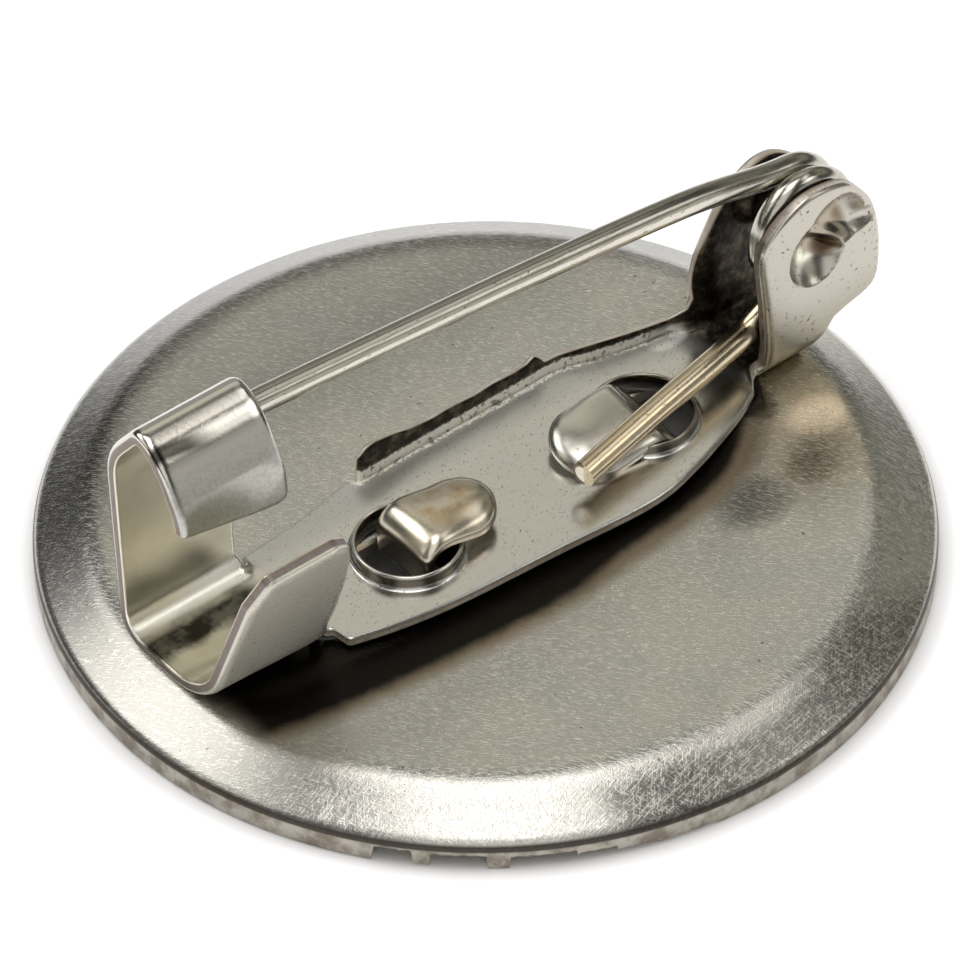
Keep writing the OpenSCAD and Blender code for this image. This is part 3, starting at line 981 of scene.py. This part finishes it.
def shell_steel(look):
    """Satin tin-plated sheet with crossed tumbling scratches, coarser on the slope."""
    steel = Finish("shell steel", look.shell_colour, (0.86, 0.88, 0.89))
    make = steel.make
    x, y, z = make.parts()
    out = (x * x + y * y) ** 0.5
    slope = out.between(10.5, 11.0) * z.between(0.5, 0.8)
    flat = 1 - slope
    front = slope * y.below(-7.5, -4.0)
    far = y.between(3.2, 8.0) * flat
    tabs = z.between(1.74, 1.85)
    clouds = make.noise(1.7, 3.0, 0.6)
    grain = make.noise(12.0, 2.0, 0.6)
    main, flatter, rising, steep, falling = [make.scratches(*row) for row in SHELL_SCRATCHES]

    steel.shade(make.noise(0.45).between(0.35, 0.65), (0.93, 0.94, 0.915))
    steel.shade(slope, (1.0, 1.0, 1.0))
    # Painted shade and painted dark reflection on the slope: darker at the front left and on the far side,
    # darkest along a stretch of the front
    steel.shade(slope * x.below(-9.5, -6.0) * y.between(-6.0, -3.5), (0.72, 0.72, 0.7))
    steel.shade(slope * y.between(2.0, 6.0), (0.72, 0.73, 0.76))
    dark_reflection = slope * x.between(-5.2, -4.2) * out.between(11.2, 11.6).most(x.between(1.0, 4.0))
    steel.shade(dark_reflection * y.below(-10.6, -9.2), (0.45, 0.46, 0.45))
    # Painted shade: the far part of the flat darker, and a painted shadow ring where it bends into the slope
    steel.shade(far * (0.85 - y.between(7.0, 9.0) * 0.35), (0.53, 0.55, 0.56))
    bend = out.between(9.95, 10.75) * out.below(11.0, 11.5) * y.between(4.5, 7.5)
    steel.shade(bend * 0.75, (0.4, 0.41, 0.4))
    # Painted reflection of the near ear: the flat on the right darker and golden
    right = x.between(4.0, 9.5) * abs(y + 2.0).below(2.5, 6.0) * flat
    steel.shade(right * 0.9, (0.77, 0.71, 0.56))
    # Painted highlight and painted shade in soft spots by the near ear
    for at_x, at_y, reach, warm in FLAT_PAINTED_LIGHT:
        steel.shade(spot(x - at_x, y - at_y, 0.0, reach, 0.6) * flat * 0.85, warm)
    lines = (main + flatter * 0.7 + rising * (0.12 + front * 0.88) + steep * front * 0.7).least(1.0)
    steel.shade(lines * (0.5 - tabs * 0.4 - far * 0.1), (1.4, 1.4, 1.35))

    steel.shade(tabs, (1.08, 1.07, 1.02))
    # Painted highlight on the left tab's bend
    steel.shade(tabs * x.below(-3.1, -2.75), (1.65, 1.62, 1.52))
    worn = tabs * x.below(0.0, 1.0)
    steel.shade(worn * 0.5, (1.1, 0.98, 0.76))
    middle = spot(x + 2.0, y + 0.6, 0.1, 0.9, 0.5)
    steel.shade(worn * middle * clouds.between(0.35, 0.6) * 0.8, (0.85, 0.64, 0.38))

    shadow_band = x.below(6.5, 9.5) * x.between(-11.0, -9.9) * y.below(-1.0, 0.0) * z.below(1.72, 1.8)
    # Painted shadow: the dark band follows the bar's near side, and its painted brown shaded edge swings out
    # to the right
    far_line = (x - 0.5).square() * 0.0095 + (x - 2.0).most(0.0).square() * 0.02 - 4.66
    bent = x.between(-1.0, 2.0) * 0.42 + (x - 5.0).most(0.0).square() * 0.12
    edge = y - far_line - bent + (clouds - 0.5) * 0.25
    brown = (edge + bent * 0.4).between(-0.6, 0.1) * shadow_band
    steel.shade(brown * 0.85, (0.42, 0.33, 0.22))
    steel.cover(edge.between(-0.1, 0.4) * shadow_band * 0.97, SHADOW)

    # The upright rim is painted darker and mottled brown, and near-black along its top under the shoulder as
    # a painted dark reflection
    rim = z.below(0.78, 0.88) * out.between(12.25, 12.4)
    rim_tone = make.mix(clouds.between(0.35, 0.65), (0.2, 0.17, 0.13), (0.42, 0.39, 0.34))
    steel.cover(rim * 0.93, make.mix(z.between(0.58, 0.66), rim_tone, (0.025, 0.017, 0.011)))
    steel.shade(make.mark("cut") * 0.8, (1.05, 0.92, 0.82))
    steel.shade(make.noise(5.5, 1.0).between(0.76, 0.8) * 0.7, (0.2, 0.17, 0.14))

    height = (main * 0.6 + flatter * 0.4) * (1 - slope * 0.4) + rising * (0.1 + front * 0.5)
    height = height + (steep * 0.45 + falling * 0.38) * front + grain * (0.15 + slope * 0.1)
    rough = 0.23 + grain * 0.06 + rim * 0.15 + brown * 0.1
    return steel.done(height * (1 - tabs * 0.8), SHELL_RELIEF, Roughness=rough)


# Painted shade and painted highlights in the near ear's dimple, as dark and bright spots: along the bar,
# height, reach and tint
EAR_PAINTED_LIGHT = [
    (11.3, 5.3, 0.4, (0.1, 0.06, 0.04)),
    (11.9, 6.2, 0.25, (0.3, 0.24, 0.18)),
    (10.45, 5.2, 0.12, (1.3, 1.35, 1.15)),
    (10.75, 4.85, 0.15, (1.4, 1.4, 1.25)),
]
BAR_RELIEF = 0.0025


def cut_edge(make, places, catch, clouds, ridges, struck):
    """Colour of the bar's cut edges: bare, bright where struck, dark on the catch, and painted dark with
    shade by the ears.
    """
    x, y, z = places
    edge = make.mix(clouds.between(0.35, 0.65), (0.44, 0.39, 0.31), (0.66, 0.6, 0.52))
    edge = make.mix(struck * ridges.between(0.35, 0.6), edge, (0.85, 0.8, 0.76))
    edge = make.mix(catch * 0.85, edge, (0.14, 0.11, 0.1))
    # Painted shade: the cut edges by the near ear nearly black
    shade_by_ear = x.between(7.9, 8.3) * x.below(9.5, 10.1) * z.between(2.0, 2.4) * y.below(-0.8, -0.4)
    return make.mix(shade_by_ear * (0.6 + 0.35 * clouds.between(0.35, 0.55)), edge, (0.06, 0.045, 0.03))


def bar_steel(look):
    """Bright plated sheet: smooth on the plate, satin on the catch and ears, stained inside, with painted
    shade and painted highlights.
    """
    steel = Finish("bar steel", look.bar_colour, (0.97, 0.98, 0.98))
    make = steel.make
    x, y, z = make.parts()
    cut, inner = make.mark("cut"), make.mark("inner")
    outer = 1 - inner
    catch = x.below(-7.7, -6.9)
    back, trough = catch * outer, catch * inner
    ears = x.between(8.0, 8.9) * outer
    plate = z.below(2.16, 2.3) * x.between(-7.0, -6.6)
    clouds = make.noise(1.3, 3.0, 0.6)
    fine = make.noise(9.0, 2.0, 0.6)
    brown = make.noise(2.4, 3.0, 0.65)

    steel.shade(clouds.between(0.3, 0.7), (1.03, 1.0, 0.95))
    steel.shade(plate, (0.95, 0.97, 0.975))
    steel.shade(trough, (1.1, 1.09, 0.98))
    steel.shade(trough * clouds.between(0.4, 0.7) * 0.6, (1.0, 0.96, 0.82))
    # Painted shade: a near-black patch low on the trough's floor, mottled at its edges
    low = z.below(2.2, 2.6) * abs(y - 0.65 + (clouds - 0.5) * 0.6).below(0.25, 0.7)
    steel.cover(trough * low * (0.8 + clouds.between(0.35, 0.6) * 0.18), (0.02, 0.017, 0.013))
    # Painted highlight along the trough's fillet
    fillet_highlight = abs(y - 1.55).below(0.1, 0.35) * z.below(2.7, 3.1)
    steel.shade(trough * fillet_highlight, (1.5, 1.5, 1.45))
    guard = back * y.below(-1.6, -1.3)
    steel.shade(guard, (0.98, 0.96, 0.87))
    flap = back * z.below(8.4, 9.5) * z.between(6.0, 6.4) * (1 - guard) * y.below(0.0, 0.5)
    steel.shade(flap, (0.8, 0.82, 0.8))
    # Painted dark reflection: a near-black streak along the top of the curl
    streak = back * z.between(8.6, 8.9) * abs(y + x * 0.09 + 0.9).below(0.08, 0.24)
    steel.shade(streak * x.below(-10.0, -8.8) * 0.95, (0.08, 0.08, 0.07))
    steel.shade(flap * fine.between(0.45, 0.6) * 0.5, (0.6, 0.62, 0.6))

    steel.shade(ears, (0.8, 0.77, 0.72))
    # Painted reflection of the disc: the outer faces of the ears darker and browner towards the bottom
    steel.shade(ears * z.below(2.3, 4.4) * 0.8, (0.52, 0.49, 0.4))
    hollow = spot(x - 10.95, z - 5.9, 0.7, 1.3) * ears * y.between(-1.47, -1.38)
    steel.shade(hollow * 0.9, (0.58, 0.52, 0.43))
    # Painted shade and painted highlights in spots in the dimple
    for at_x, at_z, reach, warm in EAR_PAINTED_LIGHT:
        steel.shade(spot(x - at_x, z - at_z, 0.0, reach, 1.5) * hollow, warm)
    # Near-black and brown over the flange's inner face and the plate between the ears; between the ears it
    # is painted shadow
    dark_inside = inner * (z.between(2.2, 2.5) * x.between(-3.4, -2.9)).most(x.between(7.6, 8.7))
    steel.cover(dark_inside, make.mix(brown.between(0.4, 0.75), (0.028, 0.024, 0.018), (0.16, 0.135, 0.1)))

    # Painted highlight: a near-white spot on the plate by the ears
    shine = spot(x - 7.7, y - 1.3, 0.1, 0.5, 0.8, 3.0)
    steel.cover(shine * inner * plate, (1.0, 0.99, 0.96))
    steel.shade(plate * inner * brown.between(0.52, 0.72) * 0.25, (0.8, 0.66, 0.46))
    foot = 2.27 - (x - 4.6).most(0.0) * 0.27 - y
    strip = (foot + (fine - 0.5) * 0.5).below(0.03, 0.08) * (z + fine * 0.25).below(2.5, 2.56)
    strip = strip * inner * y.between(0.9, 1.1) * x.between(-2.9, -2.6) * x.below(7.0, 7.8)
    chips = make.noise(1.0, 1.0, size=(0.22, 0.12, 0.22), turn=(0, 0, 20)).between(0.32, 0.42)
    steel.cover(strip, make.mix(chips, (0.4, 0.36, 0.29), (0.95, 0.93, 0.86)))
    left, right = [spot(x - hole_x, y - hole_y, 3.5, 3.7) for hole_x, hole_y, _ in HOLES]
    walls = left.most(right) * z.between(2.15, 2.25) * z.below(2.44, 2.5)
    steel.shade(walls * 0.9, (0.28, 0.24, 0.19))

    ridges = make.noise(size=(0.06, 0.5, 0.5))
    struck = z.between(6.4, 6.9) * y.below(-1.4, -1.2)
    steel.cover(cut, cut_edge(make, (x, y, z), catch, clouds, ridges, struck))
    steel.cover(cut * inner.between(0.55, 0.8) * inner.below(0.9, 1.0) * 0.6, (0.25, 0.15, 0.09))
    specks = make.noise(1.0, 0.0, size=(0.07, 0.045, 0.07), turn=(0, 0, 30)).between(0.76, 0.8) * plate
    dashes = make.scratches(0.15, 0.04, (0, -50, 0), 0.62, 0.68) * clouds.between(0.47, 0.62) * ears
    steel.cover((specks * 0.8).most(dashes * 0.85), (0.07, 0.05, 0.035))
    worms = make.worms(3.2, 0.03) * clouds.between(0.45, 0.6)

    rough = 0.2 + trough * 0.08 - back * 0.04 + flap * 0.16 + ears * 0.06 - hollow * 0.08
    rough = rough + dark_inside * 0.2 + strip * 0.3 + guard * 0.1 + foot.below(0.3, 1.2) * plate * inner * 0.2
    height = fine * (0.12 + plate * 0.2 + trough * 0.6 + ears * 0.4 + catch * 0.25 + strip * 3.0)
    height = height + worms * catch * (0.25 + flap * 0.4) + ridges * cut * struck * 1.2
    height = height - (dashes + specks) * 1.5 + brown * dark_inside * 6.0
    return steel.done(height, BAR_RELIEF, Roughness=rough + fine * 0.04 + cut * 0.1,
                      Metallic=1 - guard * 0.5 - strip * 0.7 - cut * (0.8 - catch * 0.4))


# Where the arm's middle stands by the coil, how it climbs towards the catch and how it bends over, to place
# the painted shade and highlight along the arm
ARM_FROM = (7.4, 6.45)
ARM_CLIMB = 0.0955
ARM_BEND = 0.0022
WIRE_RELIEF = 0.0022


def wire_steel(look):
    """Bright drawn wire with fine lines along it and a brassy tail."""
    steel = Finish("wire steel", look.wire_colour, (0.94, 0.94, 0.92))
    make = steel.make
    x, y, z = make.parts()
    tail = z.below(4.2, 5.0) * y.below(-0.6, -0.4)
    drawn = make.noise(size=(1.6, 0.05, 0.05))
    rings = make.noise(size=(0.05, 0.6, 0.6))
    clouds = make.noise(1.0, 3.0, 0.6, (1.2, 0.4, 0.4))
    specks = make.noise(1.0, 0.0, size=(0.09, 0.06, 0.06)).between(0.77, 0.82)
    steel.shade(clouds.between(0.35, 0.65), (1.03, 1.02, 1.0))
    steel.shade(tail * (0.55 + 0.45 * clouds.between(0.4, 0.7)), (1.25, 1.05, 0.74))

    from_x, from_z = ARM_FROM
    along = from_x - x
    middle = from_z + BAR_Z + along * ARM_CLIMB - along.square() * ARM_BEND
    # Painted shade along the top of the arm and a painted highlight over the rest of it
    arm = z.between(7.2, 7.5) * x.below(7.0, 9.0)
    upper = (z - middle).between(0.2, 0.27)
    steel.shade(arm * upper, (0.62, 0.62, 0.6))
    steel.shade(arm * (1 - upper), (1.25, 1.24, 1.2))
    steel.shade(drawn.between(0.55, 0.75) * (0.5 - tail * 0.3), (0.5, 0.44, 0.34))
    steel.cover(specks * 0.8, (0.06, 0.045, 0.03))

    end_x, end_y, end_z = TAIL_POINTS[-1]
    u, v, w = x - end_x, y - end_y, z - (end_z + BAR_Z)
    end = tail * x.below(2.0, 2.3) * (u * 0.98 - v * 0.18 + w * 0.05).below(0.004, 0.02)
    core = spot(v, w, 0.06, 0.09)
    steel.cover(end, make.mix(core, (0.16, 0.12, 0.08), (0.8, 0.76, 0.68)))
    height = drawn * (0.8 - tail * 0.6) + rings * (0.2 + tail * 0.5) - specks
    return steel.done(height, WIRE_RELIEF, Roughness=0.16 + drawn * 0.08)


# The add-on

class ShellSizes(bpy.types.PropertyGroup):
    diameter: bpy.props.FloatProperty(
        name="Diameter", description="Outer diameter of the shell", default=0.025, unit="LENGTH")
    sheet: bpy.props.FloatProperty(
        name="Sheet", description="Thickness of the shell's sheet", default=0.00035, unit="LENGTH")


class BarSizes(bpy.types.PropertyGroup):
    sheet: bpy.props.FloatProperty(
        name="Sheet", description="Thickness of the bar's sheet", default=0.0004, unit="LENGTH")


class WireSizes(bpy.types.PropertyGroup):
    diameter: bpy.props.FloatProperty(
        name="Diameter", description="Diameter of the spring wire", default=0.00075, unit="LENGTH")


class Look(bpy.types.PropertyGroup):
    shell_colour: bpy.props.FloatVectorProperty(
        name="Shell", description="Colour of the shell's tin plating", subtype="COLOR",
        default=(0.58, 0.565, 0.53))
    bar_colour: bpy.props.FloatVectorProperty(
        name="Bar", description="Colour of the bar's bright plating", subtype="COLOR",
        default=(0.66, 0.645, 0.61))
    wire_colour: bpy.props.FloatVectorProperty(
        name="Wire", description="Colour of the spring wire", subtype="COLOR",
        default=(0.54, 0.52, 0.47))


class BADGE_OT_shell(bpy.types.Operator):
    """Make the stamped shell and its clinched tabs"""
    bl_idname = "badge.shell"
    bl_label = "Shell"

    def execute(self, context):
        obj = make_shell(context.scene.badge_shell)
        obj.data.materials.append(shell_steel(context.scene.badge_look))
        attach(obj, "base")
        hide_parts("disc")
        return {"FINISHED"}


class BADGE_OT_bar(bpy.types.Operator):
    """Make the formed pin bar"""
    bl_idname = "badge.bar"
    bl_label = "Pin bar"

    def execute(self, context):
        obj = make_bar(context.scene.badge_bar)
        obj.data.materials.append(bar_steel(context.scene.badge_look))
        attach(obj, "base")
        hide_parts("pin_bar")
        return {"FINISHED"}


class BADGE_OT_wire(bpy.types.Operator):
    """Make the spring wire"""
    bl_idname = "badge.wire"
    bl_label = "Spring wire"

    def execute(self, context):
        obj = make_wire(context.scene.badge_wire, wire_steel(context.scene.badge_look))
        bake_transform(obj)
        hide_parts("pin_arm", "coil_tail")
        return {"FINISHED"}


# The camera: the photograph's side and focal length in pixels, then where it stands and how it is turned
PHOTO_SIDE = 970
FOCAL_LENGTH = 6772.5
CAMERA_AZIMUTH, CAMERA_ELEVATION = -38.8, 43.9
CAMERA_AWAY = 187.5
CAMERA_TILT, CAMERA_ROLL = 0.47, 0.75


def direction(azimuth, elevation):
    """Unit vector towards an azimuth from +X and an elevation, in degrees."""
    a, e = math.radians(azimuth), math.radians(elevation)
    return Vector((math.cos(a) * math.cos(e), math.sin(a) * math.cos(e), math.sin(e)))


def make_camera():
    """The camera at the photograph's place."""
    data = bpy.data.cameras.new("Camera")
    data.sensor_width = 36
    data.lens = FOCAL_LENGTH / PHOTO_SIDE * data.sensor_width
    data.clip_start, data.clip_end = 0.01, 20
    camera = add_object("Camera", data)
    place = CAMERA_AWAY * MM * direction(CAMERA_AZIMUTH - 90, CAMERA_ELEVATION)
    ahead = -place.normalized()
    right = ahead.cross(Vector((0, 0, 1))).normalized()
    ahead = Matrix.Rotation(math.radians(CAMERA_TILT), 3, right) @ ahead
    right = Matrix.Rotation(math.radians(CAMERA_ROLL), 3, ahead) @ right
    turned = Matrix((right, right.cross(ahead), -ahead)).transposed().to_4x4()
    camera.matrix_world = Matrix.Translation(place) @ turned
    bpy.context.scene.camera = camera


def soft_box(make, towards, azimuth, elevation, half_wide, half_high, edge):
    """1 inside a soft-edged rectangle of the sky, 0 outside."""
    middle = direction(azimuth, elevation)
    side = middle.cross(Vector((0, 0, 1))).normalized()
    # The same box mirrored through the middle of the sky lies under the floor, out of sight
    ahead = make.dot(towards, middle)
    soft = math.tan(math.radians(edge))
    box = 1
    for axis, half in ((side, half_wide), (side.cross(middle), half_high)):
        off = make.dot(towards, axis) / ahead
        reach = math.tan(math.radians(half))
        box = off.square().below(reach * (reach - 2 * soft), reach * (reach + 2 * soft)) * box
    return box


# Studio boxes: azimuth from +X, elevation, half width, half height, edge, brightness, colour
SKY = [
    (120, 50, 17, 14, 2.5, 2.6, (1.0, 0.99, 0.97)),
    (-125, 89, 12, 19, 2.5, 3.0, (1.0, 0.99, 0.97)),
    (-125, 38, 21, 30, 4.0, 0.85, (1.0, 0.99, 0.97)),
    (162, 36, 12, 20, 4.0, 0.9, (1.0, 0.99, 0.97)),
    (52, 46, 16, 12, 5.0, 0.70, (1.0, 0.96, 0.84)),
    (54, 20, 16, 10, 5.0, 0.42, (1.0, 0.97, 0.90)),
    (2, 28, 24, 12, 6.0, 0.25, (1.0, 1.0, 0.80)),
    (-10, 60, 14, 5, 2.5, 1.7, (1.0, 0.98, 0.94)),
    (-43, 42, 10, 9, 3.0, 2.3, (1.0, 0.98, 0.93)),
    (-60, 17, 16, 14, 5.0, 0.5, (1.0, 0.98, 0.92)),
]
ROOM = (0.035, 0.034, 0.03)
HORIZON = (0.92, 0.91, 0.88)


def make_world():
    """A dark studio room with a pale horizon and soft boxes."""
    world = bpy.data.worlds.new("Studio")
    bpy.context.scene.world = world
    world.use_nodes = True
    make = Nodes(world.node_tree)
    towards = make.node("ShaderNodeTexCoord", output="Generated")
    behind = make.dot(towards, direction(50, 0)).between(-0.2, 0.5)
    glow = (make.dot(towards, (0, 0, 1)) - behind * 0.05).below(-0.01, 0.05)
    total = make.mix(glow, ROOM, HORIZON)
    for *box, power, colour in SKY:
        total = make.mix(soft_box(make, towards, *box), total, tuple(c * power for c in colour), "ADD")
    make.feed(world.node_tree.nodes["Background"], Color=total)


# The floor: half its side, how far it lies under the part, its grey and how much it shines itself
FLOOR_HALF = 600
FLOOR_DROP = 0.02
FLOOR_GREY = 0.9
FLOOR_GLOW = 0.52


def make_floor():
    """A sheet of white paper, lit a little from itself away from the part, with a painted contact shadow
    where that glow fades out round and under the part.
    """
    mesh = bpy.data.meshes.new("floor")
    corners = [(-1, -1), (1, -1), (1, 1), (-1, 1)]
    mesh.from_pydata([(x * FLOOR_HALF * MM, y * FLOOR_HALF * MM, -FLOOR_DROP * MM) for x, y in corners],
                     [], [(0, 1, 2, 3)])
    material, make, shader = new_material("floor paper")
    for name, value in (("Base Color", (FLOOR_GREY,) * 3 + (1,)), ("Roughness", 0.9),
                        ("Specular IOR Level", 0.0), ("Emission Strength", FLOOR_GLOW)):
        shader.inputs[name].default_value = value
    x, y, _ = make.parts()
    # Painted contact shadow: the glow fades out under the part and round its rim
    beyond = ((x * x + y * y) ** 0.5).between(12.1, 13.3)
    make.feed(shader, Emission_Color=make.mix(beyond, (0, 0, 0), (1.0, 1.0, 1.03)))
    mesh.materials.append(material)
    return add_object("floor", mesh)


class BADGE_OT_stage(bpy.types.Operator):
    """Make the floor, the lights and the camera"""
    bl_idname = "badge.stage"
    bl_label = "Stage"

    def execute(self, context):
        make_camera()
        make_world()
        floor = make_floor()
        context.scene.view_settings.view_transform = "Standard"
        return {"FINISHED"}


class BADGE_PT_panel(bpy.types.Panel):
    """The badge's pieces in the sidebar"""
    bl_idname = "BADGE_PT_panel"
    bl_label = "Badge Blank"
    bl_space_type = "VIEW_3D"
    bl_region_type = "UI"
    bl_category = "Badge"

    def draw(self, context):
        for group in ("badge_shell", "badge_bar", "badge_wire", "badge_look"):
            owner = getattr(context.scene, group)
            for name in owner.bl_rna.properties.keys():
                if name not in ("rna_type", "name"):
                    self.layout.prop(owner, name)
        for operator in OPERATORS:
            self.layout.operator(operator.bl_idname)


OPERATORS = (BADGE_OT_shell, BADGE_OT_bar, BADGE_OT_wire, BADGE_OT_stage)
GROUPS = {"badge_shell": ShellSizes, "badge_bar": BarSizes, "badge_wire": WireSizes, "badge_look": Look}


def register():
    for made in (*GROUPS.values(), *OPERATORS, BADGE_PT_panel):
        bpy.utils.register_class(made)
    for name, group in GROUPS.items():
        setattr(bpy.types.Scene, name, bpy.props.PointerProperty(type=group))


def unregister():
    for name in GROUPS:
        delattr(bpy.types.Scene, name)
    for made in reversed((*GROUPS.values(), *OPERATORS, BADGE_PT_panel)):
        bpy.utils.unregister_class(made)


def main():
    register()
    bpy.ops.badge.shell()
    bpy.ops.badge.bar()
    bpy.ops.badge.wire()
    bpy.ops.badge.stage()
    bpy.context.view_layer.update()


if __name__ == "__main__":
    main()
